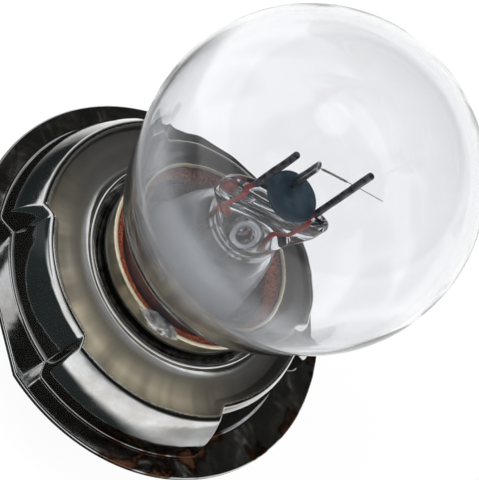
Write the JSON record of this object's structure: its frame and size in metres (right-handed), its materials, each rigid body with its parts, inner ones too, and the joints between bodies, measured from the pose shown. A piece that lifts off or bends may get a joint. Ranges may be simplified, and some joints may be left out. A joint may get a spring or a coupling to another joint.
{
  "type": "prefocus headlight bulb",
  "caption": "Clear round filament bulb for a motorcycle headlight, cemented in a plated cap with a pressed focusing ring and a soldered foot contact.",
  "frame": {"origin": "on the lamp's axis, in the plane of the back of the focusing ring's flange", "axes": "+Z along the lamp's axis towards the glass, -Y through the flat on the flange"},
  "size_m": [0.0288, 0.0276, 0.0452],
  "materials": {
    "ring_plate": "bright nickel plate on pressed sheet, lightly tarnished",
    "shell_plate": "bright nickel plate on drawn brass",
    "solder": "soft solder, lumpy grey",
    "clear_glass": "clear blown glass",
    "stem_glass": "clear lead glass, pressed and fused",
    "seal_copper": "red copper-clad wire seen in glass",
    "lead_nickel": "dull dark nickel wire",
    "shield_metal": "smooth blue-grey sheet",
    "post_metal": "pale grey wire",
    "tungsten": "grey coiled tungsten wire",
    "lead_copper": "dull copper wire",
    "cement": "red-brown grainy basing cement",
    "black_glass": "black moulded glass",
    "contact_brass": "plain brass"
  },
  "bodies": {
    "root": {"prefocus_ring": "ring_plate", "cap_shell": "shell_plate", "ring_solder": "solder", "rim_solder": "solder", "contact_solder": "solder", "glass_bulb": "clear_glass", "glass_stem": "stem_glass", "exhaust_tube": "stem_glass", "seal_wire_left": "seal_copper", "seal_wire_right": "seal_copper", "support_lead_left": "lead_nickel", "support_lead_right": "lead_nickel", "shield_dish": "shield_metal", "filament_post": "post_metal", "filament": "tungsten", "side_lead": "lead_copper", "centre_lead": "lead_copper", "basing_cement": "cement", "base_insulator": "black_glass", "centre_contact": "contact_brass"}
  },
  "joints": []
}
